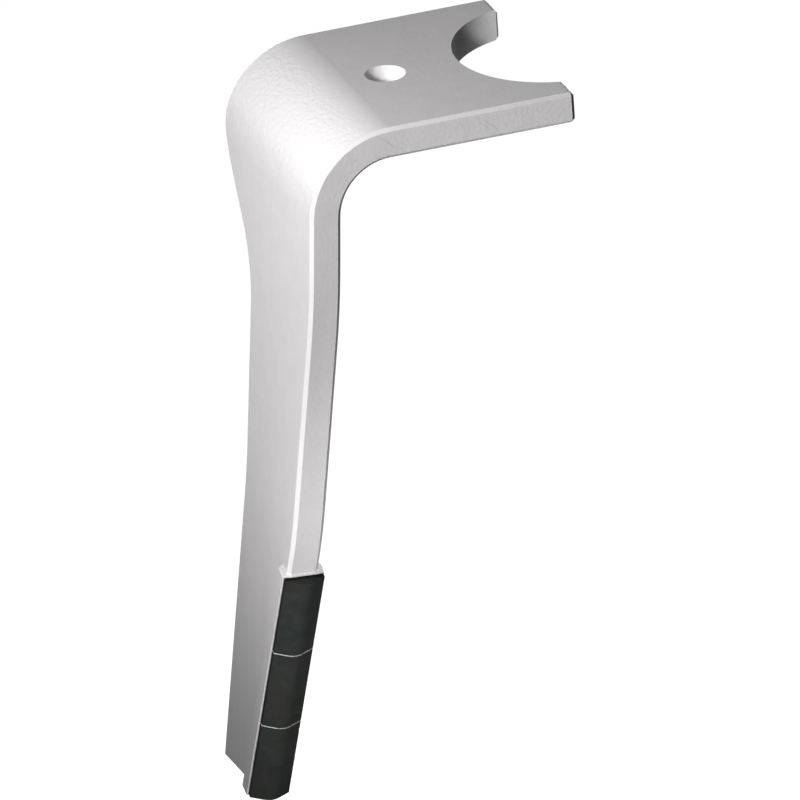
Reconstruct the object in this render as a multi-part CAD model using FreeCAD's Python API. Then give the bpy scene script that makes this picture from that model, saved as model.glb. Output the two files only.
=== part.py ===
"""Harrow tine with three carbide plates brazed on its leading edge.

A flat bar is forged, pierced and bent to an L: a bolted flange on top and a
trailing shank that tapers to a blade. The lower leading edge is upset into a
wider seat, and three roof-shaped carbide plates are brazed on it end to end.

Millimetres. The origin is on the bolt hole's axis, in the flange's top face,
which is the mounting face. +Z is up, +X points to the flange's notched end,
and -Y is the leading side, where the plates are. The shank hangs from -X.
"""
import FreeCAD
import Part
import math
import os

Vector = FreeCAD.Vector

# Flange: its reach is from the free end to the shank's outer face at the bend
bar_width = 105.0
bar_thickness = 13.0
flange_reach = 113.0
hole_diameter = 16.5
hole_to_free_end = 61.0
notch_radius = 41.4
notch_centre_beyond_end = 10.5
edge_chamfer = 1.45

# Bend
bend_inner_radius = 22.5
lean_angle = 3.6

# Shank outline, in the plane of the blade: depths are measured down the
# shank from the end of the bend, and angles from the shank's own direction
blade_end_depth = 266.5
leading_knee_depth = 39.0
leading_knee_radius = 190.0
leading_angle = 11.2

# Trailing edge, from the bend down: a shoulder, a neck and the blade's back
shoulder_depth = 1.0
shoulder_radius = 50.0
shoulder_angle = 37.2
neck_depth = 45.0
neck_radius = 48.0
back_angle = 3.85
back_knee_depth = 133.3
back_knee_radius = 180.0
trailing_angle = 11.15

# Carbide plates
plate_names = ("carbide_plate_upper", "carbide_plate_middle", "carbide_plate_lower")
plate_length = 38.6
plate_width = 16.5
plate_side_height = 1.9
plate_flank_angle = 25.5
plate_ridge_radius = 7.0
plate_corner_radius = 0.25

# Braze
film_thickness = 0.25
joint_gap = 0.5
bead_width = 0.2
bead_height = 0.6
joint_recess = 0.12

# Seat: the upset leading edge that carries the plates
seat_angle = 21.5
seat_top_above_end = 104.26
seat_top_inset = 2.46
seat_ledge = 0.55
seat_bevel_width = 0.4
seat_bevel_depth = 0.45
seat_depth = 5.7
seat_back_slope = 2.3
seat_step = 0.9
seat_step_radius = 145.0
seat_below_plates = 0.4
seat_above_plates = 0.1

# How far cutting shapes run past the solid, and how near counts as touching
overrun = 10.0
match_tolerance = 0.01

plate_count = len(plate_names)
plates_length = plate_count * plate_length + (plate_count - 1) * joint_gap
seat_half_width = plate_width / 2 + seat_ledge
bar_half_width = bar_width / 2
bar_half_thickness = bar_thickness / 2
bend_outer_radius = bend_inner_radius + bar_thickness
bend_angle = 90.0 - lean_angle
hole_to_bend = flange_reach - hole_to_free_end - bend_outer_radius


def sine(degrees):
    return math.sin(math.radians(degrees))


def cosine(degrees):
    return math.cos(math.radians(degrees))


def tangent(degrees):
    return math.tan(math.radians(degrees))


# Directions of the blade: down the shank, through its thickness, and across
down_shank = Vector(-sine(lean_angle), 0, -cosine(lean_angle))
through_blade = Vector(cosine(lean_angle), 0, -sine(lean_angle))
across_blade = Vector(0, 1, 0)

# The middle of the bar's thickness where the bend ends and the shank begins
bend_centre = Vector(-hole_to_bend, 0, -bend_outer_radius)
shank_start = bend_centre - through_blade * (bend_inner_radius + bar_half_thickness)

# Directions of the seat: down along the plates and forward out of the seat
down_seat = across_blade * sine(seat_angle) + down_shank * cosine(seat_angle)
out_of_seat = down_shank * sine(seat_angle) - across_blade * cosine(seat_angle)


def blade_point(offset, depth, through=0.0):
    """A point by its offset and depth on the blade's middle plane, or off it."""
    return shank_start + across_blade * offset + down_shank * depth + through_blade * through


def depth_of(point):
    """How far a point is down the shank."""
    return (point - shank_start).dot(down_shank)


def leading_offset(depth):
    """The offset of the shank's swept leading edge at a depth."""
    return -bar_half_width + (depth - leading_knee_depth) * tangent(leading_angle)


seat_top_depth = blade_end_depth - seat_top_above_end
seat_top_offset = leading_offset(seat_top_depth) + seat_top_inset
seat_origin = blade_point(seat_top_offset, seat_top_depth)


def seat_point(through, forward, along=0.0):
    """A point by its place on the seat, whose plates start at along = 0."""
    return seat_origin + through_blade * through + out_of_seat * forward + down_seat * along


def seat_place(point):
    """A point's place on the seat: through, forward and along."""
    offset = point - seat_origin
    return offset.dot(through_blade), offset.dot(out_of_seat), offset.dot(down_seat)


def matches(value, target):
    return abs(value - target) < match_tolerance


def line(start, end):
    return Part.LineSegment(start, end).toShape()


def arc(start, middle, end):
    return Part.Arc(start, middle, end).toShape()


def solid_from(edges, sweep):
    """The prism of a closed outline moved along a vector."""
    return Part.Face(Part.Wire(edges)).extrude(sweep)


def polygon(points):
    return [line(a, b) for a, b in zip(points, points[1:] + points[:1])]


def rounded_outline(corners):
    """Edges of a closed outline from (point, corner radius) pairs."""
    ends = []
    for index, (corner, radius) in enumerate(corners):
        before = (corners[index - 1][0] - corner).normalize()
        after = (corners[(index + 1) % len(corners)][0] - corner).normalize()
        if radius == 0:
            ends.append((corner, None, corner))
            continue
        half_angle = before.getAngle(after) / 2
        reach = radius / math.tan(half_angle)
        bisector = (before + after).normalize()
        middle = corner + bisector * (radius / math.sin(half_angle) - radius)
        ends.append((corner + before * reach, middle, corner + after * reach))
    edges = []
    for index, (start, middle, end) in enumerate(ends):
        if middle is not None:
            edges.append(arc(start, middle, end))
        edges.append(line(end, ends[(index + 1) % len(ends)][0]))
    return edges


def bent_bar():
    """The bar, full width, bent from the flange down to the blade's end."""
    half_turn = bend_angle / 2
    to_middle = Vector(-sine(half_turn), 0, cosine(half_turn))
    flange_end_top = Vector(hole_to_free_end, 0, 0)
    flange_end_bottom = Vector(hole_to_free_end, 0, -bar_thickness)
    bend_top = Vector(-hole_to_bend, 0, 0)
    bend_bottom = Vector(-hole_to_bend, 0, -bar_thickness)
    outer_shank = blade_point(0, 0, -bar_half_thickness)
    inner_shank = blade_point(0, 0, bar_half_thickness)
    outer_end = blade_point(0, blade_end_depth, -bar_half_thickness)
    inner_end = blade_point(0, blade_end_depth, bar_half_thickness)
    edges = [
        line(flange_end_top, bend_top),
        arc(bend_top, bend_centre + to_middle * bend_outer_radius, outer_shank),
        line(outer_shank, outer_end),
        line(outer_end, inner_end),
        line(inner_end, inner_shank),
        arc(inner_shank, bend_centre + to_middle * bend_inner_radius, bend_bottom),
        line(bend_bottom, flange_end_bottom),
        line(flange_end_bottom, flange_end_top),
    ]
    bar = solid_from(edges, across_blade * bar_width)
    bar.translate(across_blade * -bar_half_width)
    return bar


def leading_corners():
    """Corners of the leading edge, from the bend down to the blade's end."""
    # The bar's own edge runs one step behind the seat and meets the swept edge
    behind_seat = seat_top_inset + seat_step / cosine(seat_angle)
    turn = tangent(seat_angle) - tangent(leading_angle)
    meet_depth = seat_top_depth - behind_seat / turn
    end_offset = leading_offset(meet_depth) + (blade_end_depth - meet_depth) * tangent(seat_angle)
    return [
        (blade_point(-bar_half_width, leading_knee_depth), leading_knee_radius),
        (blade_point(leading_offset(meet_depth), meet_depth), seat_step_radius),
        (blade_point(end_offset, blade_end_depth), 0),
    ]


def trailing_corners():
    """Corners of the trailing edge, from the blade's end up to the bend."""
    shoulder_drop = neck_depth - shoulder_depth
    neck_offset = bar_half_width - shoulder_drop * tangent(shoulder_angle)
    back_offset = neck_offset + (back_knee_depth - neck_depth) * tangent(back_angle)
    end_offset = back_offset + (blade_end_depth - back_knee_depth) * tangent(trailing_angle)
    return [
        (blade_point(end_offset, blade_end_depth), 0),
        (blade_point(back_offset, back_knee_depth), back_knee_radius),
        (blade_point(neck_offset, neck_depth), neck_radius),
        (blade_point(bar_half_width, shoulder_depth), shoulder_radius),
    ]


def bar_outline():
    """A prism through the blade that leaves the flange and bend full width."""
    reach = hole_to_bend + hole_to_free_end + bend_outer_radius + overrun
    corners = [(blade_point(bar_half_width, -reach), 0), (blade_point(-bar_half_width, -reach), 0)]
    corners += leading_corners() + trailing_corners()
    prism = solid_from(rounded_outline(corners), through_blade * (2 * reach))
    prism.translate(through_blade * -reach)
    return prism


def is_skin(face):
    """Whether a face is one of the bar's broad faces, flat or bent."""
    low_u, high_u, low_v, high_v = face.ParameterRange
    normal = face.normalAt((low_u + high_u) / 2, (low_v + high_v) / 2)
    is_end = face.BoundBox.XMin > hole_to_free_end - match_tolerance
    is_blade_end = matches(depth_of(face.CenterOfMass), blade_end_depth)
    return matches(normal.dot(across_blade), 0) and not is_end and not is_blade_end


def break_bar_edges(bar):
    """Breaks the long edges of the bar and the corners of its free end."""
    chosen = []
    for edge in bar.Edges:
        faces = bar.ancestorsOfType(edge, Part.Face)
        skins = [is_skin(face) for face in faces]
        middle = edge.valueAt((edge.FirstParameter + edge.LastParameter) / 2)
        is_broken = skins.count(True) == 1 or matches(middle.x, hole_to_free_end)
        if is_broken and not matches(depth_of(middle), blade_end_depth):
            chosen.append(edge)
    return bar.makeChamfer(edge_chamfer, chosen)


def seat_block():
    """The upset leading edge, wider than the bar, with a flat top and sloped back."""
    front_half_width = seat_half_width - seat_bevel_width
    back = -seat_depth - seat_back_slope
    top = -seat_above_plates
    bottom = plates_length + seat_below_plates
    section = [
        seat_point(-front_half_width, 0, top),
        seat_point(front_half_width, 0, top),
        seat_point(seat_half_width, -seat_bevel_depth, top),
        seat_point(seat_half_width, -seat_depth, top),
        seat_point(bar_half_thickness, back, top),
        seat_point(-bar_half_thickness, back, top),
        seat_point(-seat_half_width, -seat_depth, top),
        seat_point(-seat_half_width, -seat_bevel_depth, top),
    ]
    return solid_from(polygon(section), down_seat * (bottom - top))


def cutting_cylinder(radius, x):
    tall = bar_thickness + 2 * overrun
    return Part.makeCylinder(radius, tall, Vector(x, 0, -bar_thickness - overrun))


def tine_body():
    bar = break_bar_edges(bent_bar().common(bar_outline()))
    bolt_hole = cutting_cylinder(hole_diameter / 2, 0)
    notch = cutting_cylinder(notch_radius, hole_to_free_end + notch_centre_beyond_end)
    bar = bar.cut(bolt_hole).cut(notch)
    return bar.fuse(seat_block()).removeSplitter()


def plate_section(inset=0.0):
    """The roof-shaped outline of a plate, or the same drawn in by an inset."""
    half = plate_width / 2 - inset
    foot = film_thickness
    eave = foot + plate_side_height - inset * (1 - sine(plate_flank_angle)) / cosine(plate_flank_angle)
    ridge_half = plate_ridge_radius * sine(plate_flank_angle)
    sharp_ridge = eave + half * tangent(plate_flank_angle)
    ridge_foot = sharp_ridge - ridge_half * tangent(plate_flank_angle)
    ridge_top = ridge_foot + plate_ridge_radius * (1 - cosine(plate_flank_angle))
    right_foot = seat_point(half, foot)
    right_eave = seat_point(half, eave)
    left_foot = seat_point(-half, foot)
    left_eave = seat_point(-half, eave)
    ridge_right = seat_point(ridge_half, ridge_foot)
    ridge_left = seat_point(-ridge_half, ridge_foot)
    return [
        line(left_foot, right_foot),
        line(right_foot, right_eave),
        line(right_eave, ridge_right),
        arc(ridge_right, seat_point(0, ridge_top), ridge_left),
        line(ridge_left, left_eave),
        line(left_eave, left_foot),
    ]


def plate_start(index):
    """How far down the seat a plate begins."""
    return index * (plate_length + joint_gap)


def carbide_plate(index):
    """One plate, with the corners along its two eaves eased."""
    plate = solid_from(plate_section(), down_seat * plate_length)
    eave_edges = []
    for edge in plate.Edges:
        through, forward, along = seat_place(edge.CenterOfMass)
        at_side = matches(abs(through), plate_width / 2)
        at_eave = matches(forward, film_thickness + plate_side_height)
        if at_side and at_eave and matches(along, plate_length / 2):
            eave_edges.append(edge)
    plate = plate.makeFillet(plate_corner_radius, eave_edges)
    plate.translate(down_seat * plate_start(index))
    return plate


def braze_filler():
    """The film under the plates, its side beads, and the joints between plates."""
    half = plate_width / 2
    foot = half + bead_width
    section = [
        seat_point(-foot, 0),
        seat_point(foot, 0),
        seat_point(half, bead_height),
        seat_point(half, film_thickness),
        seat_point(-half, film_thickness),
        seat_point(-half, bead_height),
    ]
    filler = solid_from(polygon(section), down_seat * plates_length)
    for index in range(plate_count - 1):
        joint = solid_from(plate_section(joint_recess), down_seat * joint_gap)
        joint.translate(down_seat * (plate_start(index) + plate_length))
        filler = filler.fuse(joint)
    return filler.removeSplitter()


def export(name, shape):
    solid = shape.Solids[0]
    solid.exportStep("parts/" + name + ".step")
    print(name, "solids", len(shape.Solids), "valid", shape.isValid(), "volume", round(shape.Volume, 1))


os.makedirs("parts", exist_ok=True)
export("tine_body", tine_body())
for number, plate_name in enumerate(plate_names):
    export(plate_name, carbide_plate(number))
export("braze_filler", braze_filler())
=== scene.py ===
"""Harrow tine: finishes, braze seams, light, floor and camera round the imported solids."""

import logging
import math
from dataclasses import dataclass
from enum import Enum

import bmesh
import bpy
from mathutils import Matrix, Vector, noise


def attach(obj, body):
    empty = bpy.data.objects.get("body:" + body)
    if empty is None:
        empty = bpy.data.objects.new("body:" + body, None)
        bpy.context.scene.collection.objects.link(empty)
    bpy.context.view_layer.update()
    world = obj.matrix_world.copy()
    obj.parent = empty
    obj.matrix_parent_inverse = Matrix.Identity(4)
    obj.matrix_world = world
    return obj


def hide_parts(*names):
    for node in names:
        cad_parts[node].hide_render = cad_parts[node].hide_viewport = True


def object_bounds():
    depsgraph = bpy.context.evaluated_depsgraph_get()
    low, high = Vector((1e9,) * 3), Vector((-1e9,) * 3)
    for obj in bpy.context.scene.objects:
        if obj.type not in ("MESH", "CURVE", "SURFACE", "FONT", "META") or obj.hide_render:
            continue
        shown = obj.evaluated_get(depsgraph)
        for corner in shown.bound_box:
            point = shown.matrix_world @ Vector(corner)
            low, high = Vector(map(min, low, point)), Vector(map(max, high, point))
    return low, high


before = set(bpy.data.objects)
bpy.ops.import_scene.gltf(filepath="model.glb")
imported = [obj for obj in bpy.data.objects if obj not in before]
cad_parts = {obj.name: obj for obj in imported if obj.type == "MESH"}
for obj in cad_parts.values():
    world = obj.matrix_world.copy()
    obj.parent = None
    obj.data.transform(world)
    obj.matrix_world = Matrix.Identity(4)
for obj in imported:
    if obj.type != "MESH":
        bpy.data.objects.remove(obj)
cad_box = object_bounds()

MM = 0.001
LOG = logging.getLogger("harrow_tine")
OUTWARD = Vector((1, 0, 0))
NEARWARD = Vector((0, -1, 0))
UPWARD = Vector((0, 0, 1))
IN_PLAN = Vector((1, 1, 0))
QUARTER_TURN = 90.0
Point = tuple[float, float]
Triple = tuple[float, float, float]
Colour = tuple[float, float, float, float]
Section = list[Triple]
Ring = list[Vector]
Socket = bpy.types.NodeSocket
Inputs = dict[str | int, object]
Piece = bpy.types.Object
Material = bpy.types.Material

# Where a value begins and ends, then what these become where that isn't 0 and 1
Span = tuple[float, ...]

# Sockets of a Mix node for colours, which share their names with its other sockets
MIX_FACTOR, MIX_BELOW, MIX_ABOVE, MIX_RESULT = 0, 6, 7, 2
BEVEL_SAMPLES = 6


class Slot(Enum):
    """Material slots of the record; the steel, carbide and bright braze finishes carry the same names.
    """

    STEEL = "forged_steel"
    CARBIDE = "sintered_carbide"
    BRAZE = "braze_metal"


class BlendMode(Enum):
    """Ways that two colours are laid over each other."""

    MIX = "MIX"
    MULTIPLY = "MULTIPLY"


def turned(degrees: float) -> Point:
    """Returns the cosine and sine of an angle in degrees."""
    return math.cos(math.radians(degrees)), math.sin(math.radians(degrees))


def metres(*lengths: float) -> tuple[float, ...]:
    """Turns millimetres into metres."""
    return tuple(length * MM for length in lengths)


def spread(low: float, high: float, steps: int) -> list[float]:
    """Gives evenly spaced places from low to high, both ends included."""
    return [low + (high - low) * step / steps for step in range(steps + 1)]


@dataclass(frozen=True)
class Swell:
    """Smooth, repeatable unevenness along a line.

    The seed picks one of many lines, the pitch is about how far apart its
    swells are in millimetres, and the size is how far they go from 0.
    """

    seed: float
    pitch: float
    size: float

    def at(self, place: float, side: int = 1, shift: int = 0) -> float:
        """Gives the unevenness at a place. Side, 1 or -1, and shift pick other lines of its kind."""
        seed = side * self.seed + shift
        return self.size * noise.noise(Vector((seed, place / self.pitch, seed)))


def placed(name: str, data: bpy.types.ID) -> Piece:
    """Puts an object in the scene.

    Args:
        name: its name.
        data: the mesh, lamp or camera that it shows.

    Returns:
        The new object.
    """
    piece = bpy.data.objects.new(name, data)
    bpy.context.scene.collection.objects.link(piece)
    return piece


def link_mesh(name: str, mesh: bpy.types.Mesh) -> Piece:
    """Puts a mesh in the scene as an object with outward faces.

    Args:
        name: the piece's name.
        mesh: its mesh, with the points in the row frame.

    Returns:
        The new object.
    """
    editable = bmesh.new()
    editable.from_mesh(mesh)
    bmesh.ops.recalc_face_normals(editable, faces=editable.faces)
    editable.to_mesh(mesh)
    editable.free()
    return placed(name, mesh)


def lofted(name: str, rings: list[Ring]) -> Piece:
    """Makes a closed piece through rings of points, with a cap on each end.

    Args:
        name: the piece's name.
        rings: the rings in order, each with as many points, in the row frame.

    Returns:
        The new object.
    """
    count = len(rings[0])
    points = [point for ring in rings for point in ring]
    faces: list[tuple[int, ...]] = []
    for base in range(0, len(points) - count, count):
        for side in range(count):
            after = (side + 1) % count
            faces.append((base + side, base + after, base + count + after, base + count + side))
    faces.append(tuple(reversed(range(count))))
    faces.append(tuple(range(len(points) - count, len(points))))
    mesh = bpy.data.meshes.new(name)
    mesh.from_pydata(points, [], faces)
    mesh.validate()
    return link_mesh(name, mesh)


def smooth(piece: Piece, sharp_angle: float) -> None:
    """Shades a piece smooth, apart from edges sharper than an angle in degrees."""
    piece.data.shade_smooth()
    piece.data.set_sharp_from_angle(angle=math.radians(sharp_angle))


def dress(piece: Piece, material: Material) -> None:
    """Gives a piece one material in place of what it has."""
    piece.data.materials.clear()
    piece.data.materials.append(material)


@dataclass(frozen=True)
class SeatFrame:
    """The seat's own directions and origin in the row frame, from sizes in millimetres.

    Through is across the blade's thickness, forward leads out of the seat, and
    along runs down the plates from the top of the upper one.
    """

    lean_angle: float = 3.6
    seat_angle: float = 21.5
    bar_width: float = 105.0
    bar_thickness: float = 13.0
    flange_reach: float = 113.0
    hole_to_free_end: float = 61.0
    bend_inner_radius: float = 22.5
    blade_end_depth: float = 266.5
    leading_knee_depth: float = 39.0
    leading_angle: float = 11.2
    seat_top_above_end: float = 104.26
    seat_top_inset: float = 2.46

    @property
    def down(self) -> Vector:
        """Down the shank."""
        cosine, sine = turned(self.lean_angle)
        return Vector((-sine, 0, -cosine))

    @property
    def through(self) -> Vector:
        """Through the blade, towards its inner face."""
        cosine, sine = turned(self.lean_angle)
        return Vector((cosine, 0, -sine))

    @property
    def along(self) -> Vector:
        """Down along the plates."""
        cosine, sine = turned(self.seat_angle)
        return Vector((0, sine, 0)) + self.down * cosine

    @property
    def forward(self) -> Vector:
        """Out of the seat, square to the plates' feet."""
        cosine, sine = turned(self.seat_angle)
        return self.down * sine - Vector((0, cosine, 0))

    @property
    def bend_outer_radius(self) -> float:
        """The bend's radius on the bar's outer face, in millimetres."""
        return self.bend_inner_radius + self.bar_thickness

    @property
    def bend_centre(self) -> Vector:
        """The point on the bend's axis that is level with the hole's, in millimetres."""
        outer = self.bend_outer_radius
        return Vector((self.hole_to_free_end + outer - self.flange_reach, 0, -outer))

    @property
    def shank_start(self) -> Vector:
        """The middle of the bar's thickness where the bend ends, in metres."""
        reach = self.bend_outer_radius - self.bar_thickness / 2
        return (self.bend_centre - self.through * reach) * MM

    @property
    def origin(self) -> Vector:
        """Works out the middle of the seat's top edge.

        Returns:
            The point, in metres.
        """
        depth = self.blade_end_depth - self.seat_top_above_end
        cosine, sine = turned(self.leading_angle)
        offset = -self.bar_width / 2 + self.seat_top_inset
        offset += (depth - self.leading_knee_depth) * sine / cosine
        return self.shank_start + (Vector((0, offset, 0)) + self.down * depth) * MM

    def loft(self, name: str, sections: list[Section]) -> Piece:
        """Lofts a piece that lies on the seat.

        Args:
            name: the piece's name.
            sections: rings of places, each through, forward and along in millimetres.

        Returns:
            The new object.
        """
        start, axes = self.origin, (self.through, self.forward, self.along)
        rings: list[Ring] = []
        for section in sections:
            places = [metres(*place) for place in section]
            rings.append([start + axes[0] * a + axes[1] * b + axes[2] * c for a, b, c in places])
        return lofted(name, rings)


@dataclass(frozen=True)
class PlateSizes:
    """Sizes of the plates and of the braze round them, in millimetres.

    The steps say how many parts each rounded eave, each flank and each half of
    the rounded ridge has.
    """

    length: float = 38.6
    width: float = 16.5
    side_height: float = 1.9
    flank_angle: float = 25.5
    ridge_radius: float = 7.0
    corner_radius: float = 0.3
    end_radius: float = 0.22
    film: float = 0.25
    joint_gap: float = 0.5
    joint_recess: float = 0.1
    bead_width: float = 0.16
    bead_height: float = 0.14
    corner_steps: int = 4
    flank_steps: int = 8
    ridge_steps: int = 4

    def start(self, index: int) -> float:
        """Returns how far down the seat a plate begins, in millimetres."""
        return index * (self.length + self.joint_gap)

    def outline(self) -> list[Point]:
        """Gives the roof-shaped section of a plate.

        Returns:
            Through and forward of each point in millimetres, from the left
            foot over the ridge to the right foot.
        """
        cosine, sine = turned(self.flank_angle)
        half = self.width / 2
        eave = self.film + self.side_height
        ridge_foot = eave + (half - self.ridge_radius * sine) * sine / cosine
        ridge_centre = ridge_foot - self.ridge_radius * cosine
        radius = self.corner_radius
        eave_turn = QUARTER_TURN - self.flank_angle
        reach = radius * math.tan(math.radians(eave_turn) / 2)
        side_top = eave - reach
        right: list[Point] = []
        for angle in spread(0.0, self.flank_angle, self.ridge_steps):
            rise, run = turned(angle)
            right.append((self.ridge_radius * run, ridge_centre + self.ridge_radius * rise))
        start, end = right[-1], (half - reach * cosine, eave + reach * sine)
        flank = (spread(low, high, self.flank_steps)[1:] for low, high in zip(start, end))
        right += zip(*flank)
        for angle in spread(eave_turn, 0.0, self.corner_steps)[1:]:
            run, rise = turned(angle)
            right.append((half - radius + radius * run, side_top + radius * rise))
        right += [(half, (side_top + self.film) / 2), (half, self.film)]
        left = [(-through, forward) for through, forward in reversed(right[1:])]
        return left + right


@dataclass(frozen=True)
class Grain:
    """A noise pattern.

    The scale is its swells in a metre, the detail how many finer layers it has,
    the roughness how strong they are, and the distortion how far it is stirred.
    A stretched one has a scale of 1 and its swells in a metre on each axis, and
    is turned about Y by an angle in degrees.
    """

    scale: float
    detail: float = 4.0
    roughness: float = 0.55
    distortion: float = 0.0
    stretch: Triple | None = None
    turn: float = 0.0


class Sheet:
    """A tree of nodes, with short calls to add nodes to it."""

    def __init__(self, tree: bpy.types.NodeTree) -> None:
        """Starts on a tree of nodes."""
        self.tree = tree

    def feed(self, socket: Socket, value: object) -> None:
        """Fills an input.

        Args:
            socket: the input.
            value: the output that is joined to it, or the plain value that it gets.
        """
        if isinstance(value, Socket):
            self.tree.links.new(value, socket)
        else:
            socket.default_value = value

    def node(self, kind: str, output: str | int, inputs: Inputs, **settings: object) -> Socket:
        """Adds a node.

        Args:
            kind: Blender's name for that kind of node, after ShaderNode.
            output: the name or number of the output that is wanted.
            inputs: what each input gets, by its name or number.
            **settings: the settings that it gets, by name.

        Returns:
            That output.
        """
        node = self.tree.nodes.new(f"ShaderNode{kind}")
        for name, value in settings.items():
            setattr(node, name, value)
        for name, value in inputs.items():
            self.feed(node.inputs[name], value)
        return node.outputs[output]

    def math(self, operation: str, first: object, *others: object) -> Socket:
        """Adds arithmetic on values or outputs, from left to right.

        Args:
            operation: Blender's name for it.
            first: the first value or output.
            *others: the further ones, each taken with what came before it.

        Returns:
            The output with the result.
        """
        for other in others:
            first = self.node("Math", "Value", {0: first, 1: other}, operation=operation)
        return first

    def absolute(self, value: Socket) -> Socket:
        """Gives the size of a value without its sign."""
        return self.math("ABSOLUTE", value, 0.0)

    def background(self) -> Socket:
        """Gives 1 to the rays of the camera, of reflections and through glass, and 0 to light."""
        rays = ("Is Camera Ray", "Is Glossy Ray", "Is Transmission Ray")
        return self.math("MAXIMUM", *(self.node("LightPath", ray, {}) for ray in rays))


class MaterialSheet(Sheet):
    """The tree of nodes of one new material."""

    def __init__(self, name: str) -> None:
        """Starts a material.

        Args:
            name: its name.
        """
        self.material = bpy.data.materials.new(name)
        self.material.use_nodes = True
        super().__init__(self.material.node_tree)
        self.tree.nodes.clear()
        self.place = self.node("TexCoord", "Object", {})

    def grain(self, pattern: Grain) -> Socket:
        """Adds a noise pattern.

        Args:
            pattern: what it is like.

        Returns:
            The output with its value, from about 0.2 to 0.8.
        """
        place = self.place
        if pattern.stretch:
            turn = (0.0, math.radians(pattern.turn), 0.0)
            pitch = [1 / swells for swells in pattern.stretch]
            inputs = {"Vector": place, "Rotation": turn, "Scale": pitch}
            place = self.node("Mapping", "Vector", inputs, vector_type="TEXTURE")
        inputs = {"Vector": place, "Scale": pattern.scale, "Detail": pattern.detail}
        inputs |= {"Roughness": pattern.roughness, "Distortion": pattern.distortion}
        return self.node("TexNoise", "Fac", inputs)

    def span(
        self, value: Socket, low: float, high: float, to_low: float = 0.0, to_high: float = 1.0
    ) -> Socket:
        """Maps a value smoothly from one span to another, and holds it at both ends."""
        inputs = {"Value": value, "From Min": low, "From Max": high, "To Min": to_low, "To Max": to_high}
        return self.node("MapRange", "Result", inputs, interpolation_type="SMOOTHSTEP")

    def vector(self, operation: str, output: str, *inputs: object) -> Socket:
        """Adds one step of arithmetic on vectors or outputs, and returns the output named."""
        return self.node("VectorMath", output, dict(enumerate(inputs)), operation=operation)

    def offset(self, origin: Vector) -> Socket:
        """Gives the way to the place on the object from a point, in metres."""
        return self.vector("SUBTRACT", "Vector", self.place, origin)

    def towards(self, direction: Vector, origin: Vector) -> Socket:
        """Measures how far the place lies from a point in a direction, in metres."""
        return self.vector("DOT_PRODUCT", "Value", self.offset(origin), direction)

    def from_axis(self, origin: Vector, kept: Vector) -> Socket:
        """Measures how far the place lies from an axis through a point, in the directions kept."""
        flat = self.vector("MULTIPLY", "Vector", self.offset(origin), kept)
        return self.vector("LENGTH", "Value", flat)

    def slope(self, direction: Vector | Socket) -> Socket:
        """Measures how squarely the surface faces a direction, 1 when straight at it."""
        normal = self.node("NewGeometry", "Normal", {})
        return self.vector("DOT_PRODUCT", "Value", normal, direction)

    def turned_to_skin(self, axis: Vector) -> Socket:
        """Measures how square the surface is to the bar's thickness.

        The bar runs flat from a bend axis that lies along Y, so its thickness
        is measured from that axis, and straight up or back beyond the bend.

        Args:
            axis: a point on the bend's axis, in metres.

        Returns:
            The output: 1 on the outer broad face, -1 on the inner one, 0 on
            the edges, and between them on the broken corners.
        """
        offset = {"Vector": self.offset(axis)}
        back = self.math("MINIMUM", self.node("SeparateXYZ", "X", offset), 0.0)
        up = self.math("MAXIMUM", self.node("SeparateXYZ", "Z", offset), 0.0)
        outward = self.node("CombineXYZ", "Vector", {"X": back, "Z": up})
        return self.slope(self.vector("NORMALIZE", "Vector", outward))

    def worn_edge(self, radius: float, turn: Span) -> Socket:
        """Finds edges within a radius, from how the surface turns to its rounded self there."""
        rounded = self.node("Bevel", "Normal", {"Radius": radius}, samples=BEVEL_SAMPLES)
        return self.span(self.slope(rounded), *turn)

    def colour(
        self, factor: Socket, below: object, above: object, mode: BlendMode = BlendMode.MIX
    ) -> Socket:
        """Lays one colour over another by a factor from 0 to 1, and returns the result."""
        inputs = {MIX_FACTOR: factor, MIX_BELOW: below, MIX_ABOVE: above}
        return self.node("Mix", MIX_RESULT, inputs, data_type="RGBA", blend_type=mode.value)

    def scaled(self, colour: Socket, share: Socket) -> Socket:
        """Makes a colour lighter or darker by a share, 1 for no change."""
        return self.node("VectorMath", "Vector", {0: colour, "Scale": share}, operation="SCALE")

    def relief(self, *layers: tuple[Socket, float]) -> Socket:
        """Raises the surface by patterns, each on top of the one before.

        Args:
            *layers: each pattern, and how high its 1 stands in millimetres.

        Returns:
            The output with the normal.
        """
        under: Inputs = {}
        for pattern, height in layers:
            rise = {"Height": pattern, "Strength": 1.0, "Distance": height * MM}
            under = {"Normal": self.node("Bump", "Normal", rise | under)}
        return under["Normal"]

    def surface(self, shader: Socket) -> Material:
        """Gives the material its surface from a shader, and returns the material."""
        self.feed(self.tree.nodes.new("ShaderNodeOutputMaterial").inputs["Surface"], shader)
        return self.material

    def finish(
        self, tone: Socket, rough: Socket, normal: Socket, metallic: float, specular: float
    ) -> Material:
        """Gives the material its surface.

        Args:
            tone: the output with its colour.
            rough: the output with its roughness.
            normal: the output with its normal.
            metallic: how metallic it is all over.
            specular: its specular level all over.

        Returns:
            The finished material.
        """
        inputs = {"Base Color": tone, "Roughness": rough, "Normal": normal}
        inputs |= {"Metallic": metallic, "Specular IOR Level": specular}
        return self.surface(self.node("BsdfPrincipled", "BSDF", inputs))


@dataclass(frozen=True)
class Scratch:
    """One fine line scratched in the near edge.

    Its start in X and Z and its length are in millimetres, and its angle is in
    degrees below level.
    """

    start: Point
    angle: float
    length: float


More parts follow.
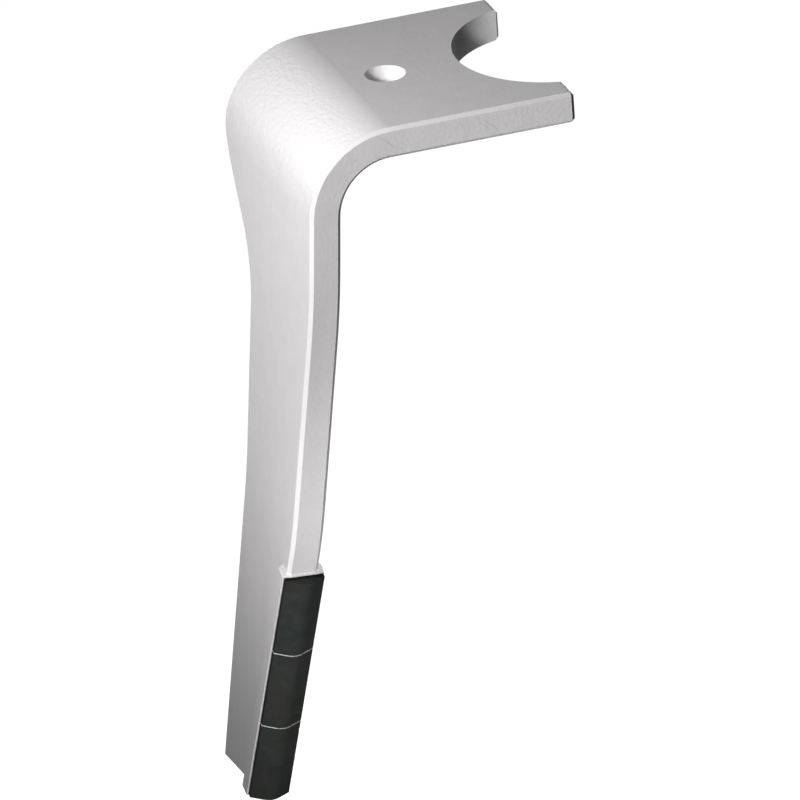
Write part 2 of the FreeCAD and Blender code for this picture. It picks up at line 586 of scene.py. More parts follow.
@dataclass
class BarMarks:
    """Shares from 0 to 1 that mark the parts of the bar on its sheet of nodes.

    A span says where a mark begins and where it is full. Places are in
    millimetres, spans named for facing say how squarely the surface faces a
    direction, and those of a scratch are shares of its length or half width.
    The painted shade line round the free end is counted on the wall from the end,
    and on the top and the broken corner from where they meet.
    """

    sheet: MaterialSheet
    seat: SeatFrame
    bore_radius: float = 8.25
    notch_radius: float = 41.4
    notch_centre: float = 71.5
    cut_margin: float = 0.12
    corner_size: float = 1.45
    skin_facing: Span = (0.8, 0.99)
    corner_rise_facing: Span = (0.40, 0.55)
    corner_fall_facing: Span = (0.92, 0.82)
    square_facing: Span = (0.9, 0.98)
    wear_start: Span = (-15.0, 10.0)
    wear_end: Span = (166.0, 158.0)
    # the painted shade on the flange top: where it begins and where it fades out, in millimetres, and
    # the share left there
    band_start: Span = (-3.0, 1.0)
    band_fade: Span = (85.0, 4.0)
    band_left: float = 0.2
    # where the painted shade line lies, in millimetres from the free end or from the broken corner
    line_on_wall: Span = (-0.72, -0.6)
    line_on_top: Span = (-0.48, -0.36)
    line_on_corner: Span = (-0.12, 0.0)
    off_end_facing: Span = (0.65, 0.5)
    slant_rise_facing: Span = (0.6, 0.68)
    slant_fall_facing: Span = (0.9, 0.8)
    slant_level_facing: Span = (0.5, 0.6)
    front_forward: Span = (-0.5, -0.25)
    front_along: Span = (-0.6, -0.2)
    scratch_width: float = 0.44
    scratch_start: Span = (0.0, 0.2)
    scratch_end: Span = (1.0, 0.7)
    scratch_side: Span = (1.0, 0.2)
    scratches: tuple[Scratch, ...] = (
        Scratch((-24.1, -0.4), 40.6, 17.0),
        Scratch((-20.8, -2.8), 46.5, 9.0),
        Scratch((20.3, -2.2), 42.0, 12.5),
        Scratch((20.6, -4.1), 46.0, 7.0),
    )

    def __post_init__(self) -> None:
        """Measures the bend, the way down the shank and the broad faces."""
        self.axis = self.seat.bend_centre * MM
        self.facing = self.sheet.turned_to_skin(self.axis)
        self.depth = self.sheet.towards(self.seat.down, self.seat.shank_start)
        self.skin = self.sheet.span(self.sheet.absolute(self.facing), *self.skin_facing)

    def between(self, distance: Socket, span: Span, datum: float = 0.0, unit: float = MM) -> Socket:
        """Marks a span of a distance, both span and datum in a unit that is given in metres."""
        low, high = span
        return self.sheet.span(distance, (datum + low) * unit, (datum + high) * unit)

    def bend(self, lean: float, start: float, full: float) -> Socket:
        """Marks the bend's outer side by its lean to the shank and its span in outer radii."""
        out = self.sheet.towards((UPWARD - lean * OUTWARD).normalized(), self.axis)
        return self.between(out, (start, full), unit=self.seat.bend_outer_radius * MM)

    def corner(self, side: int) -> Socket:
        """Marks the broken corners of one broad face.

        Args:
            side: 1 for the outer face and -1 for the inner.

        Returns:
            The share.
        """
        turn = self.sheet.math("MULTIPLY", self.facing, float(side))
        rising = self.sheet.span(turn, *self.corner_rise_facing)
        return self.sheet.math("MULTIPLY", rising, self.sheet.span(turn, *self.corner_fall_facing))

    def wear(self) -> Socket:
        """Marks the outer corners of the shank, from the bend to the seat, which are worn and carry a
        painted highlight.
        """
        start, end = self.between(self.depth, self.wear_start), self.between(self.depth, self.wear_end)
        return self.sheet.math("MULTIPLY", self.corner(1), start, end)

    def shade_band(self) -> Socket:
        """Marks the strip of painted shade on the top of the flange, strongest where the bend begins.

        Returns:
            The share.
        """
        reach = self.sheet.towards(OUTWARD, self.axis)
        fade = self.sheet.span(reach, *metres(*self.band_fade), self.band_left)
        return self.sheet.math("MULTIPLY", self.between(reach, self.band_start), fade, self.skin)

    def cut(self) -> Socket:
        """Marks the walls of the bolt hole and of the notch.

        Returns:
            The share.
        """
        shares = []
        for centre, radius in ((0.0, self.bore_radius), (self.notch_centre, self.notch_radius)):
            out = self.sheet.from_axis(OUTWARD * centre * MM, IN_PLAN)
            shares.append(self.between(out, (self.cut_margin, 0.0), radius))
        return self.sheet.math("MAXIMUM", *shares)

    def end_shade_line(self) -> Socket:
        """Marks a narrow line of painted shade round the free end, but not the end's own face.

        Returns:
            The share.
        """
        sheet, end = self.sheet, self.seat.hole_to_free_end
        broken = end - self.corner_size
        reach = sheet.towards(OUTWARD, Vector())
        square, level = sheet.slope(OUTWARD), sheet.slope(UPWARD)
        wall = sheet.math(
            "MULTIPLY",
            self.between(reach, self.line_on_wall, end),
            sheet.span(square, *self.off_end_facing),
        )
        top = sheet.math(
            "MULTIPLY",
            self.between(reach, self.line_on_top, broken),
            sheet.span(level, *self.square_facing),
        )
        slant = sheet.math(
            "MULTIPLY",
            self.between(reach, self.line_on_corner, broken),
            sheet.span(square, *self.slant_rise_facing),
            sheet.span(square, *self.slant_fall_facing),
            sheet.span(level, *self.slant_level_facing),
        )
        return sheet.math("MAXIMUM", wall, top, slant)

    def scratch(self, mark: Scratch) -> Socket:
        """Marks one scratch on the near edge of the flange or the bend.

        Args:
            mark: the scratch.

        Returns:
            The share.
        """
        cosine, sine = turned(mark.angle)
        start = Vector((*mark.start, 0)).xzy * MM
        along = self.sheet.towards(OUTWARD * cosine - UPWARD * sine, start)
        aside = self.sheet.absolute(self.sheet.towards(OUTWARD * sine + UPWARD * cosine, start))
        return self.sheet.math(
            "MULTIPLY",
            self.between(along, self.scratch_start, unit=mark.length * MM),
            self.between(along, self.scratch_end, unit=mark.length * MM),
            self.between(aside, self.scratch_side, unit=self.scratch_width / 2 * MM),
        )

    def scratched(self) -> Socket:
        """Marks all the scratches on the near edge.

        Returns:
            The share.
        """
        near = self.sheet.span(self.sheet.slope(NEARWARD), *self.square_facing)
        every = self.sheet.math("MAXIMUM", *(self.scratch(mark) for mark in self.scratches))
        return self.sheet.math("MULTIPLY", every, near)

    def seat_front(self, along: Socket) -> Socket:
        """Marks the narrow front of the seat beside the plates, where painted light lies.

        Args:
            along: the output with how far down the seat a place lies, in metres.

        Returns:
            The share.
        """
        forward = self.sheet.towards(self.seat.forward, self.seat.origin)
        top = self.between(along, self.front_along)
        return self.sheet.math("MULTIPLY", self.between(forward, self.front_forward), top)


@dataclass(frozen=True)
class ForgedSteel:
    """Forged bar, shot-cleaned to a dull silver grey, and stretched over the bend.

    The outer side of the bend is grained like leather and carries a painted
    highlight, the broken corners of the shank are worn bright and carry painted
    light, the hole and the notch are cut clean, and the front of the seat carries
    painted light that grows towards the tip. A strip of painted shade lies on the
    flange top where the bend begins, the shank is painted darker towards the
    plates as painted shade, and a line of painted shade runs round the free end.
    Lengths are in millimetres.
    """

    pale: Colour = (0.600, 0.586, 0.593, 1.0)
    deep: Colour = (0.578, 0.564, 0.571, 1.0)
    # painted shade: the shank grows darker down towards the plates, carrying on the lamps' fall-off
    falloff_shade: Colour = (0.70, 0.703, 0.705, 1.0)
    # painted highlight on the outer side of the bend
    stretched: Colour = (0.648, 0.633, 0.640, 1.0)
    # painted shade on the flange top where the bend begins
    band_shade: Colour = (0.94, 0.94, 0.94, 1.0)
    # worn steel with a painted highlight on the outer corners of the shank
    worn: Colour = (0.69, 0.675, 0.683, 1.0)
    # painted light on the inner broken corners, which are also worn
    worn_inner_lit: Colour = (0.88, 0.861, 0.871, 1.0)
    cut: Colour = (0.73, 0.714, 0.722, 1.0)
    # painted shade: a dark line along the free end's edges
    end_shade: Colour = (0.20, 0.195, 0.198, 1.0)
    scored: Colour = (0.81, 0.81, 0.81, 1.0)
    # painted light on the seat's front: darker than the bar at its top and lighter towards the tip, over
    # this length
    front_lit_top: Colour = (0.46, 0.449, 0.454, 1.0)
    front_lit_low: Colour = (0.76, 0.743, 0.751, 1.0)
    front_lit_length: float = 117.0
    # where the painted shade down the shank begins and is full, in millimetres down the shank
    falloff_shade_depth: Span = (115.0, 260.0)
    # where the painted highlight lies on the bend: lean to the shank, start and full in outer radii
    highlight_bend: Triple = (0.8, 0.80, 0.96)
    grained_bend: Triple = (1.2, 0.72, 0.95)
    mottle: Grain = Grain(120.0, 5.0, 0.6)
    mottle_span: Span = (0.32, 0.68)
    grit: Grain = Grain(1900.0, 5.0, 0.65)
    speck_span: Span = (0.35, 0.65, 0.97, 1.02)
    rough_span: Span = (0.3, 0.7, 0.46, 0.55)
    grit_height: float = 0.04
    lines: Grain = Grain(1.0, 2.0, 0.5, stretch=(90.0, 90.0, 5200.0), turn=38.0)
    lines_span: Span = (0.62, 0.72)
    lines_gloss: float = 0.06
    lines_depth: float = 0.4
    creases: Grain = Grain(1.0, 1.0, 0.5, 0.3, stretch=(540.0, 400.0, 540.0))
    crease_height: float = 0.34
    creased_flat: Span = (0.0, 1.0, 0.36, 0.17)
    waves: Grain = Grain(30.0, 3.0)
    wave_height: float = 0.1
    metallic: float = 0.0
    specular: float = 0.025
    seat: SeatFrame = SeatFrame()

    def tone(self, sheet: MaterialSheet, grit: Socket, marks: BarMarks) -> Socket:
        """Colours the steel.

        Args:
            sheet: the material's nodes.
            grit: the fine grain.
            marks: the parts of the bar.

        Returns:
            The output with the colour.
        """
        mottle = sheet.span(sheet.grain(self.mottle), *self.mottle_span)
        tone = sheet.colour(mottle, self.deep, self.pale)
        # painted shade on the flange top next to the bend
        tone = sheet.colour(marks.shade_band(), tone, self.band_shade, BlendMode.MULTIPLY)
        # painted highlight on the outer side of the bend
        bright = sheet.math("MULTIPLY", marks.bend(*self.highlight_bend), marks.skin)
        tone = sheet.colour(bright, tone, self.stretched)
        # painted shade, darker down the shank towards the plates
        heat = marks.between(marks.depth, self.falloff_shade_depth)
        tone = sheet.colour(heat, tone, self.falloff_shade, BlendMode.MULTIPLY)
        # worn outer corners of the shank, with a painted highlight
        tone = sheet.colour(marks.wear(), tone, self.worn)
        # painted light on the inner broken corners, which are also worn
        tone = sheet.colour(marks.corner(-1), tone, self.worn_inner_lit)
        tone = sheet.colour(marks.cut(), tone, self.cut)
        # painted shade along the free end's edges
        tone = sheet.colour(marks.end_shade_line(), tone, self.end_shade)
        tone = sheet.colour(marks.scratched(), tone, self.scored, BlendMode.MULTIPLY)
        # painted light on the seat's front, growing towards the tip
        along = sheet.towards(self.seat.along, self.seat.origin)
        down = marks.between(along, (0.0, self.front_lit_length))
        cleaned = sheet.colour(down, self.front_lit_top, self.front_lit_low)
        tone = sheet.colour(marks.seat_front(along), tone, cleaned)
        return sheet.scaled(tone, sheet.span(grit, *self.speck_span))

    def material(self) -> Material:
        """Builds the material.

        Returns:
            The finished material.
        """
        sheet = MaterialSheet("forged_steel")
        marks = BarMarks(sheet, self.seat)
        grit = sheet.grain(self.grit)
        lines = sheet.span(sheet.grain(self.lines), *self.lines_span)
        gloss = sheet.math("MULTIPLY", lines, self.lines_gloss)
        rough = sheet.math("SUBTRACT", sheet.span(grit, *self.rough_span), gloss)
        bent = sheet.math("MULTIPLY", marks.bend(*self.grained_bend), marks.skin)
        strength = sheet.math("MAXIMUM", bent, sheet.span(marks.skin, *self.creased_flat))
        creases = sheet.math("MULTIPLY", sheet.grain(self.creases), strength)
        scored = sheet.math("SUBTRACT", grit, sheet.math("MULTIPLY", lines, self.lines_depth))
        relief = sheet.relief(
            (sheet.grain(self.waves), self.wave_height),
            (creases, self.crease_height),
            (scored, self.grit_height),
        )
        return sheet.finish(self.tone(sheet, grit, marks), rough, relief, self.metallic, self.specular)


@dataclass(frozen=True)
class SinteredCarbide:
    """Pressed and sintered tungsten carbide, nearly black and faintly green.

    Lengths are in millimetres.
    """

    pale: Colour = (0.0285, 0.0315, 0.030, 1.0)
    deep: Colour = (0.0225, 0.0260, 0.0247, 1.0)
    warm: Colour = (0.0270, 0.0272, 0.0245, 1.0)
    edge: Colour = (0.04, 0.043, 0.04, 1.0)
    edge_radius: float = 0.4
    edge_turn: Span = (0.99, 0.8)
    edge_share: float = 0.4
    blotch: Grain = Grain(110.0, 3.0, 0.55, 0.6)
    blotch_span: Span = (0.35, 0.65)
    blotch_rough: Span = (0.3, 0.7, 0.46, 0.56)
    blotch_height: float = 0.1
    stain: Grain = Grain(60.0, 2.0, 0.5, 0.3)
    stain_span: Span = (0.5, 0.66)
    grit: Grain = Grain(3600.0, 4.0, 0.7)
    grit_rough: Span = (0.3, 0.7, -0.05, 0.05)
    grit_height: float = 0.02
    # painted light: the plates grow lighter towards the tip over this span, in millimetres down the
    # seat, up to the gain below
    tip_light_span: Span = (-20.0, 135.0)
    tip_light_gain: float = 1.75
    eave: Span = (1.95, 2.15)
    side_shade: float = 0.5
    metallic: float = 0.0
    specular: float = 0.002
    seat: SeatFrame = SeatFrame()

    def tone(self, sheet: MaterialSheet, blotch: Socket) -> Socket:
        """Colours the carbide, with painted light that makes it lighter towards the tip, and darker on
        the plates' sides.

        Args:
            sheet: the material's nodes.
            blotch: the broad grain.

        Returns:
            The output with the colour.
        """
        tone = sheet.colour(sheet.span(blotch, *self.blotch_span), self.deep, self.pale)
        tone = sheet.colour(sheet.span(sheet.grain(self.stain), *self.stain_span), tone, self.warm)
        edge = sheet.worn_edge(self.edge_radius * MM, self.edge_turn)
        tone = sheet.colour(sheet.math("MULTIPLY", edge, self.edge_share), tone, self.edge)
        # painted light growing towards the tip
        down = sheet.towards(self.seat.along, self.seat.origin)
        lighter = sheet.span(down, *metres(*self.tip_light_span), 1.0, self.tip_light_gain)
        forward = sheet.towards(self.seat.forward, self.seat.origin)
        side = sheet.span(forward, *metres(*self.eave), self.side_shade)
        return sheet.scaled(tone, sheet.math("MULTIPLY", lighter, side))

    def material(self) -> Material:
        """Builds the material.

        Returns:
            The finished material.
        """
        sheet = MaterialSheet("sintered_carbide")
        blotch, grit = sheet.grain(self.blotch), sheet.grain(self.grit)
        broad, fine = sheet.span(blotch, *self.blotch_rough), sheet.span(grit, *self.grit_rough)
        rough = sheet.math("ADD", broad, fine)
        relief = sheet.relief((blotch, self.blotch_height), (grit, self.grit_height))
        return sheet.finish(self.tone(sheet, blotch), rough, relief, self.metallic, self.specular)


@dataclass(frozen=True)
class SilverBraze:
    """Silver braze that has flowed and frozen in small ripples, bright on the seat.

    Heights are in millimetres.
    """

    name: str = "braze_metal"
    pale: Colour = (0.86, 0.85, 0.84, 1.0)
    deep: Colour = (0.66, 0.65, 0.64, 1.0)
    ripples: Grain = Grain(900.0, 3.0, 0.5, 0.8)
    ripple_span: Span = (0.35, 0.62)
    ripple_height: float = 0.12
    grit: Grain = Grain(4200.0, 3.0, 0.6)
    rough_span: Span = (0.3, 0.7, 0.34, 0.5)
    grit_height: float = 0.02
    metallic: float = 0.7
    specular: float = 0.5

    def material(self) -> Material:
        """Builds the material.

        Returns:
            The finished material.
        """
        sheet = MaterialSheet(self.name)
        ripples, grit = sheet.grain(self.ripples), sheet.grain(self.grit)
        tone = sheet.colour(sheet.span(ripples, *self.ripple_span), self.deep, self.pale)
        rough = sheet.span(grit, *self.rough_span)
        relief = sheet.relief((ripples, self.ripple_height), (grit, self.grit_height))
        return sheet.finish(tone, rough, relief, self.metallic, self.specular)


@dataclass(frozen=True)
class DulledBraze(SilverBraze):
    """The same braze dulled by heat and flux, as it stays in the joints."""

    name: str = "braze_metal_dull"
    pale: Colour = (0.42, 0.41, 0.40, 1.0)
    deep: Colour = (0.22, 0.215, 0.21, 1.0)
    metallic: float = 0.3


@dataclass
class TineBody:
    """The forged bar, as the solids have it, with its steel finish."""

    finish: ForgedSteel = ForgedSteel()
    sharp_angle: float = 25.0

    def build(self) -> list[Piece]:
        """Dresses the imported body.

        Returns:
            The body, in a list.
        """
        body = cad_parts["tine_body"]
        smooth(body, self.sharp_angle)
        dress(body, self.finish.material())
        return [body]


@dataclass(frozen=True)
class PlateWear:
    """Unevenness and chips of the plates' surface, in millimetres.

    They follow a pattern that has its swells a pitch apart, and for two plates
    it is read at places so many swells apart. A chip is a finer swell that
    stands over a limit near an edge. A point on a plate sinks in proportion to
    its height, and by the whole loss at full height.
    """

    pitch: float = 2.6
    shift: float = 31.0
    unevenness: float = 0.03
    middle: float = 0.5
    chip_depth: float = 0.32
    chip_reach: float = 0.8
    chip_fineness: float = 2.2
    chip_limit: float = 0.25
    full_height: float = 6.0

    def loss(self, place: Vector, plate: int, from_edge: float) -> float:
        """Gives how much is worn off at one place.

        Args:
            place: the place on the plate, in millimetres.
            plate: 0 for the upper plate, counting down.
            from_edge: how far the nearest edge is, in millimetres.

        Returns:
            The depth that is lost, in millimetres.
        """
        spot = place / self.pitch + OUTWARD * self.shift * plate
        near_edge = max(0.0, 1 - from_edge / self.chip_reach)
        chip = max(0.0, noise.noise(spot * self.chip_fineness) - self.chip_limit)
        return self.unevenness * (self.middle + noise.noise(spot)) + self.chip_depth * near_edge * chip


@dataclass
class CarbidePlates:
    """The plates, with eased edges that are slightly uneven and chipped."""

    sizes: PlateSizes = PlateSizes()
    seat: SeatFrame = SeatFrame()
    wear: PlateWear = PlateWear()
    finish: SinteredCarbide = SinteredCarbide()
    names: tuple[str, ...] = ("carbide_plate_upper", "carbide_plate_middle", "carbide_plate_lower")
    stations: int = 44
    round_steps: int = 3
    sharp_angle: float = 50.0

    def shrink(self, outline: list[Point], inset: float) -> list[Point]:
        """Draws a section in by an inset, square to its own sides.

        Args:
            outline: the section's points in order, in millimetres.
            inset: how far it is drawn in, in millimetres.

        Returns:
            The new points.
        """
        through, forward = outline[0]
        drawn = [(through + inset, forward)]
        for before, (through, forward), after in zip(outline, outline[1:], outline[2:]):
            run, rise = after[0] - before[0], after[1] - before[1]
            size = math.hypot(run, rise)
            drawn.append((through + rise / size * inset, forward - run / size * inset))
        through, forward = outline[-1]
        return drawn + [(through - inset, forward)]

    def station_list(self) -> list[Point]:
        """Lists the rings along a plate.

        Returns:
            Each ring's place and its inset, in millimetres.
        """
        radius, length = self.sizes.end_radius, self.sizes.length
        start = []
        for angle in spread(QUARTER_TURN, 0.0, self.round_steps):
            cosine, sine = turned(angle)
            start.append((radius * (1 - sine), radius * (1 - cosine)))
        middle = [(place, 0.0) for place in spread(0.0, length, self.stations)[1:-1]]
        end = [(length - place, inset) for place, inset in reversed(start)]
        return start + middle + end

    def plate(self, index: int) -> Piece:
        """Builds one plate.

        Args:
            index: 0 for the upper plate, counting down.

        Returns:
            Its object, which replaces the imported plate.
        """
        outline = self.sizes.outline()
        half, film = self.sizes.width / 2, self.sizes.film
        sections: list[Section] = []
        for place, inset in self.station_list():
            from_end = min(place, self.sizes.length - place)
            down = self.sizes.start(index) + place
            section: Section = []
            for through, forward in self.shrink(outline, inset):
                from_edge = min(from_end, half - abs(through))
                loss = self.wear.loss(Vector((through, forward, place)), index, from_edge)
                lift = film + (forward - film) * (1 - loss / self.wear.full_height)
                section.append((through * (1 - loss / half), lift, down))
            sections.append(section)
        piece = self.seat.loft(self.names[index].replace("carbide", "sintered"), sections)
        smooth(piece, self.sharp_angle)
        return piece

    def build(self) -> list[Piece]:
        """Builds and dresses all the plates.

        Returns:
            The plates.
        """
        material = self.finish.material()
        pieces = []
        for index, name in enumerate(self.names):
            piece = self.plate(index)
            dress(piece, material)
            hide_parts(name)
            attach(piece, "root")
            pieces.append(piece)
        return pieces


@dataclass(frozen=True)
class SeatLedge:
    """The steel seat round the plates and the bar's edge above it, in millimetres.

    The edge stands a step behind the seat's front, and the seat's flat top lies
    a little above the plates.
    """

    half: float = 8.8
    bar_half: float = 6.5
    bar_corner: float = 1.45
    depth: float = 5.7
    step: float = 0.9
    above_plates: float = 0.1


@dataclass(frozen=True)
class SideBead:
    """How unevenly the bead along each side of the plates swells."""

    width_swells: tuple[Swell, ...] = (Swell(7.3, 2.1, 0.22), Swell(3.1, 6.8, 0.132))
    height_swell: Swell = Swell(5.7, 3.1, 0.30)
    steps: int = 360


@dataclass(frozen=True)
class BottomBead:
    """The bead across the plates' lower end, in shares of the side beads' size."""

    width: float = 1.3
    height: float = 0.9
    width_swell: Swell = Swell(11.9, 2.3, 0.35)
    height_swell: Swell = Swell(17.3, 2.9, 0.3)
    steps: int = 60


@dataclass(frozen=True)
class TopBead:
    """The bead on the seat's flat top, in millimetres.

    It is sunk into the bar's edge, and its slope says how far out from there it
    has come down to which share of its rise. Its lip meets the film.
    """

    rise: float = 0.45
    slope: tuple[Point, ...] = ((0.12, 0.5), (0.4, 0.22))
    sunk: float = 0.1
    front: float = 0.05
    front_rise: float = 0.06
    lip: float = 0.04
    swell: Swell = Swell(11.9, 2.3, 0.3)
    steps: int = 72


@dataclass(frozen=True)
class Apron:
    """The thin sheet of braze on the seat's flat top beside the bar, in millimetres.

    Front, back and side say how far it stays from the seat's edges. It is sunk
    into the bar, and its lip thins to a share of its thickness.
    """

    thickness: float = 0.07
    front: float = 0.1
    back: float = 0.15
    side: float = 0.04
    sunk: float = 0.05
    lip: float = 0.08
    lip_share: float = 0.4
    swell: Swell = Swell(19.1, 1.9, 0.4)
    steps: int = 36


@dataclass(frozen=True)
class Joint:
    """The braze between two plates, which dips more in the middle, and unevenly."""

    sag: float = 1.2
    swell: Swell = Swell(23.0, 1.6, 0.7)
    steps: int = 4


@dataclass
class BrazeSeams:
    """The braze: film, beads round the plates, aprons and the metal in the joints."""

    sizes: PlateSizes = PlateSizes()
    ledge: SeatLedge = SeatLedge()
    seat: SeatFrame = SeatFrame()
    side: SideBead = SideBead()
    bottom: BottomBead = BottomBead()
    top: TopBead = TopBead()
    spill: Apron = Apron()
    filling: Joint = Joint()
    bright: SilverBraze = SilverBraze()
    dull: DulledBraze = DulledBraze()
    plate_count: int = 3
    curve_steps: int = 4
    sharp_angle: float = 50.0

    @property
    def full_length(self) -> float:
        """How long all the plates and joints are together, in millimetres."""
        return self.sizes.start(self.plate_count - 1) + self.sizes.length

    def bead_section(self, width: float, height: float) -> list[Point]:
        """Gives a hollow fillet's section, from its inner foot round to its top."""
        turns = [turned(angle) for angle in spread(0.0, QUARTER_TURN, self.curve_steps)]
        return [(0.0, 0.0)] + [(width * (1 - sine), height * (1 - cosine)) for cosine, sine in turns]

    def side_bead(self, side: int) -> Piece:
        """Builds the bead along one side of the plates.

        Args:
            side: 1 for the side of the blade's inner face, and -1 for the outer.

        Returns:
            The bead's object.
        """
        half = self.sizes.width / 2
        sections: list[Section] = []
        for place in spread(0.0, self.full_length, self.side.steps):
            wider = sum(swell.at(place, side) for swell in self.side.width_swells)
            width = self.sizes.bead_width * (1 + wider)
            height = self.sizes.bead_height * (1 + self.side.height_swell.at(place, side))
            points = self.bead_section(width, height)
            sections.append([(side * (half + out), up, place) for out, up in points])
        return self.seat.loft("braze_bead_inner" if side > 0 else "braze_bead_outer", sections)

    def bottom_bead(self) -> Piece:
        """Builds the bead across the lower end of the row of plates.

        Returns:
            The bead's object.
        """
        half, bead = self.sizes.width / 2, self.bottom
        sections: list[Section] = []
        for through in spread(-half, half, bead.steps):
            width = self.sizes.bead_width * (bead.width + bead.width_swell.at(through))
            height = self.sizes.bead_height * (bead.height + bead.height_swell.at(through))
            points = self.bead_section(width, height)
            sections.append([(through, up, self.full_length + out) for out, up in points])
        return self.seat.loft("braze_bead_bottom", sections)

    def top_bead(self) -> Piece:
        """Builds the bead on the seat's flat top, in front of the bar's edge.

        Returns:
            The bead's object.
        """
        ledge, bead, film = self.ledge, self.top, self.sizes.film
        half, top = ledge.bar_half, -ledge.above_plates
        sections: list[Section] = []
        for through in spread(-half, half, bead.steps):
            wall = -ledge.step - max(0.0, abs(through) - (half - ledge.bar_corner))
            rise = bead.rise * (1 + bead.swell.at(through))
            points = [(wall - bead.sunk, top - rise)]
            points += [(wall + out, top - share * rise) for out, share in bead.slope]
            points += [(-bead.front, top - bead.front_rise), (film, top + bead.lip)]
            points += [(film, 0.0), (0.0, 0.0), (wall - bead.sunk, top)]
            sections.append([(through, forward, down) for forward, down in points])
        return self.seat.loft("braze_bead_top", sections)

    def apron(self, side: int) -> Piece:
        """Builds the thin sheet of braze that has run over the seat's flat top beside the bar.

        Args:
            side: 1 for the side of the blade's inner face, and -1 for the outer.

        Returns:
            The sheet's object.
        """
        ledge, spill = self.ledge, self.spill
        top, inner = -ledge.above_plates, ledge.bar_half - spill.sunk
        reach = ledge.depth + ledge.half - ledge.bar_half
        sections: list[Section] = []
        for forward in spread(-spill.front, spill.back - reach, spill.steps):
            outer = ledge.half - spill.side - max(0.0, -forward - ledge.depth)
            thick = spill.thickness * (1 + spill.swell.at(forward, side))
            points = [(inner, top), (outer, top), (outer, top - spill.lip_share * thick)]
            points += [(outer - spill.lip, top - thick), (inner, top - thick)]
            sections.append([(side * through, forward, down) for through, down in points])
        return self.seat.loft("braze_apron_inner" if side > 0 else "braze_apron_outer", sections)

    def film(self) -> Piece:
        """Builds the thin layer between the seat and the plates.

        Returns:
            The layer's object.
        """
        half, film = self.sizes.width / 2, self.sizes.film
        corners = ((-half, 0.0), (half, 0.0), (half, film), (-half, film))
        ends = (0.0, self.full_length)
        return self.seat.loft("braze_film", [[(*corner, place) for corner in corners] for place in ends])

    def joint(self, index: int) -> Piece:
        """Builds the braze between two plates, sunk unevenly between them.

        Args:
            index: 0 for the joint under the upper plate, counting down.

        Returns:
            The joint's object.
        """
        half, gap = self.sizes.width / 2, self.sizes.joint_gap
        start = self.sizes.start(index) + self.sizes.length
        sections: list[Section] = []
        for share in spread(0.0, 1.0, self.filling.steps):
            dip = self.sizes.joint_recess * (1 + self.filling.sag * math.sin(math.pi * share))
            section: Section = []
            for through, forward in self.sizes.outline():
                loss = dip * (1 + self.filling.swell.at(through, shift=index))
                section.append((through * (1 - loss / half), forward - loss, start + gap * share))
            sections.append(section)
        return self.seat.loft(f"braze_joint_{index + 1}", sections)

    def build(self) -> list[Piece]:
        """Builds and dresses all the braze.

        Returns:
            Its pieces.
        """
        run = [self.top_bead(), self.apron(1), self.apron(-1)]
        pieces = [self.film(), self.side_bead(1), self.side_bead(-1), self.bottom_bead()]
        pieces += [self.joint(index) for index in range(self.plate_count - 1)]
        bright, dull = self.bright.material(), self.dull.material()
        for piece in run + pieces:
            smooth(piece, self.sharp_angle)
            dress(piece, bright if piece in run else dull)
            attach(piece, "root")
        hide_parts("braze_filler")
        return run + pieces


@dataclass(frozen=True)
class Lamp:
    """One soft square lamp behind a grid that narrows its beam.

    Its place, aim and size are in metres, and its beam is in degrees.
    """

    name: str
    place: Triple
    aim: Triple
    size: float
    beam: float
    watts: float

    def build(self) -> Piece:
        """Hangs the lamp.

        Returns:
            The lamp's object.
        """
        data = bpy.data.lights.new(self.name, "AREA")
        data.shape = "SQUARE"
        data.size = self.size
        data.spread = math.radians(self.beam)
        data.energy = self.watts
        lamp = placed(self.name, data)
        lamp.location = self.place
        lamp.rotation_mode = "QUATERNION"
        lamp.rotation_quaternion = (Vector(self.aim) - Vector(self.place)).to_track_quat("-Z", "Y")
        return lamp


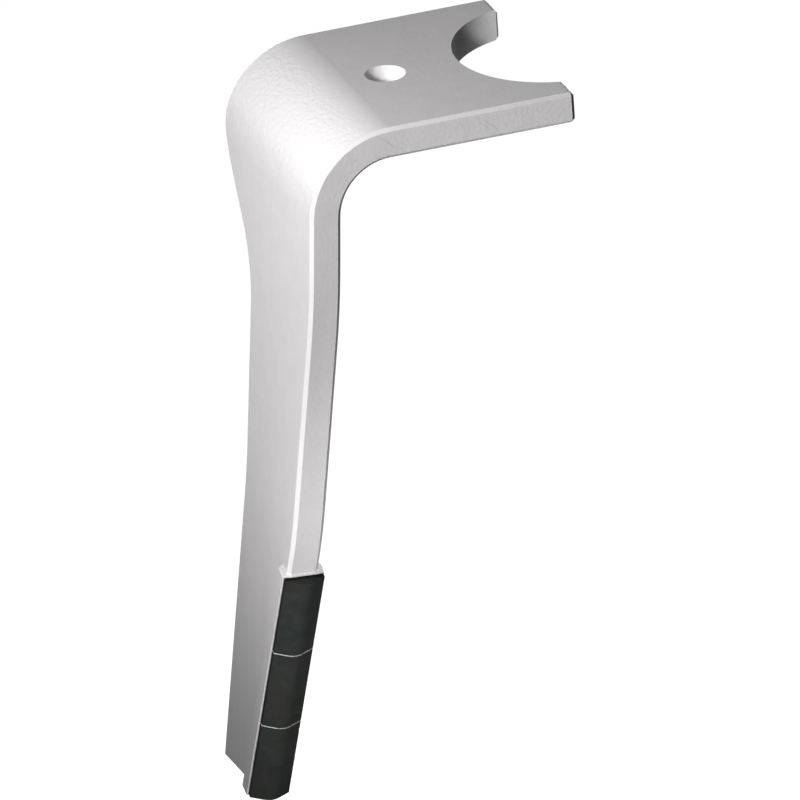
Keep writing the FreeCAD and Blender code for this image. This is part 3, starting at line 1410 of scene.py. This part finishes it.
@dataclass
class Studio:
    """A plain white floor below the hanging tine, soft lamps and a pale world, in metres."""

    floor_half: float = 9.0
    floor_drop: float = 0.25
    floor_colour: Colour = (0.8, 0.8, 0.8, 1.0)
    floor_glow: float = 1.0
    world_colour: Colour = (1.0, 1.0, 1.0, 1.0)
    world_grey: float = 0.008
    lamps: tuple[Lamp, ...] = (
        Lamp("key_lamp", (-0.494, -0.529, 0.327), (0.079, 0.002, 0.049), 0.12, 59.7, 0.715),
        Lamp("left_lamp", (-0.223, -0.099, 0.129), (-0.070, 0.016, -0.090), 0.12, 163.5, 0.42),
        Lamp("side_lamp", (-0.240, 0.160, -0.080), (-0.060, 0.000, -0.120), 0.12, 163.0, 0.070),
        Lamp("low_lamp", (-0.211, -0.289, -0.254), (0.065, -0.063, -0.193), 0.12, 61.6, 0.228),
        Lamp("seat_lamp", (-0.120, -0.300, -0.360), (-0.060, 0.000, -0.260), 0.12, 60.0, 0.03),
        Lamp("rear_lamp", (-0.450, 0.600, 0.350), (-0.020, 0.000, -0.130), 0.20, 180.0, 0.64),
        Lamp("back_lamp", (0.550, 0.650, -0.120), (-0.020, 0.000, -0.130), 0.30, 150.0, 2.0),
    )

    def floor(self) -> Piece:
        """Lays the floor.

        Returns:
            The floor's object.
        """
        low, half = cad_box[0][2] - self.floor_drop, self.floor_half
        corners = [(-half, -half, low), (half, -half, low), (half, half, low), (-half, half, low)]
        mesh = bpy.data.meshes.new("floor")
        mesh.from_pydata(corners, [], [(0, 1, 2, 3)])
        piece = link_mesh("floor", mesh)
        sheet = MaterialSheet("floor_white")
        matt = sheet.node("BsdfDiffuse", "BSDF", {"Color": self.floor_colour})
        level = sheet.math("MULTIPLY", sheet.background(), self.floor_glow)
        glow = sheet.node("Emission", "Emission", {"Strength": level})
        dress(piece, sheet.surface(sheet.node("AddShader", "Shader", {0: matt, 1: glow})))
        return piece

    def world(self) -> bpy.types.World:
        """Makes the even, pale world.

        Returns:
            The new world.
        """
        world = bpy.data.worlds.new("pale_world")
        world.use_nodes = True
        sheet = Sheet(world.node_tree)
        shade = sheet.tree.nodes["Background"].inputs
        sheet.feed(shade["Color"], self.world_colour)
        sheet.feed(shade["Strength"], sheet.math("MAXIMUM", sheet.background(), self.world_grey))
        bpy.context.scene.world = world
        return world

    def build(self) -> None:
        """Sets up the floor, the world and the lamps."""
        self.floor()
        self.world()
        for lamp in self.lamps:
            lamp.build()


@dataclass(frozen=True)
class PhotoCamera:
    """A parallel view from the front left and above, slightly rolled.

    The frame's width and the aim are in millimetres, and the distance in metres.
    """

    azimuth: float = -17.93
    elevation: float = 23.36
    roll: float = -3.715
    frame_width: float = 316.35
    aim_right: float = 5.856
    aim_up: float = -129.12
    distance: float = 1.2

    def build(self) -> Piece:
        """Places the camera and makes it the scene's own.

        Returns:
            The camera's object.
        """
        around, over = turned(self.azimuth), turned(self.elevation)
        back = Vector((around[1] * over[0], -around[0] * over[0], over[1]))
        level = Vector((around[0], around[1], 0))
        upright = back.cross(level)
        cosine, sine = turned(self.roll)
        right, up = level * cosine + upright * sine, upright * cosine - level * sine
        data = bpy.data.cameras.new("photo_camera")
        data.type = "ORTHO"
        data.ortho_scale = self.frame_width * MM
        camera = placed("photo_camera", data)
        aim = (right * self.aim_right + up * self.aim_up) * MM
        turn = Matrix((right, up, back)).transposed()
        camera.matrix_world = Matrix.Translation(aim + back * self.distance) @ turn.to_4x4()
        bpy.context.scene.camera = camera
        return camera


def report(pieces: list[Piece]) -> None:
    """Logs each piece with the number of its faces."""
    for piece in pieces:
        LOG.info("%s: %d faces", piece.name, len(piece.data.polygons))


def main() -> None:
    """Builds every sub-assembly in order."""
    logging.basicConfig(level=logging.INFO, format="%(name)s %(message)s")
    bpy.context.scene.view_settings.view_transform = "Standard"
    PhotoCamera().build()
    for assembly in (TineBody(), CarbidePlates(), BrazeSeams()):
        report(assembly.build())
    Studio().build()


if __name__ == "__main__":
    main()
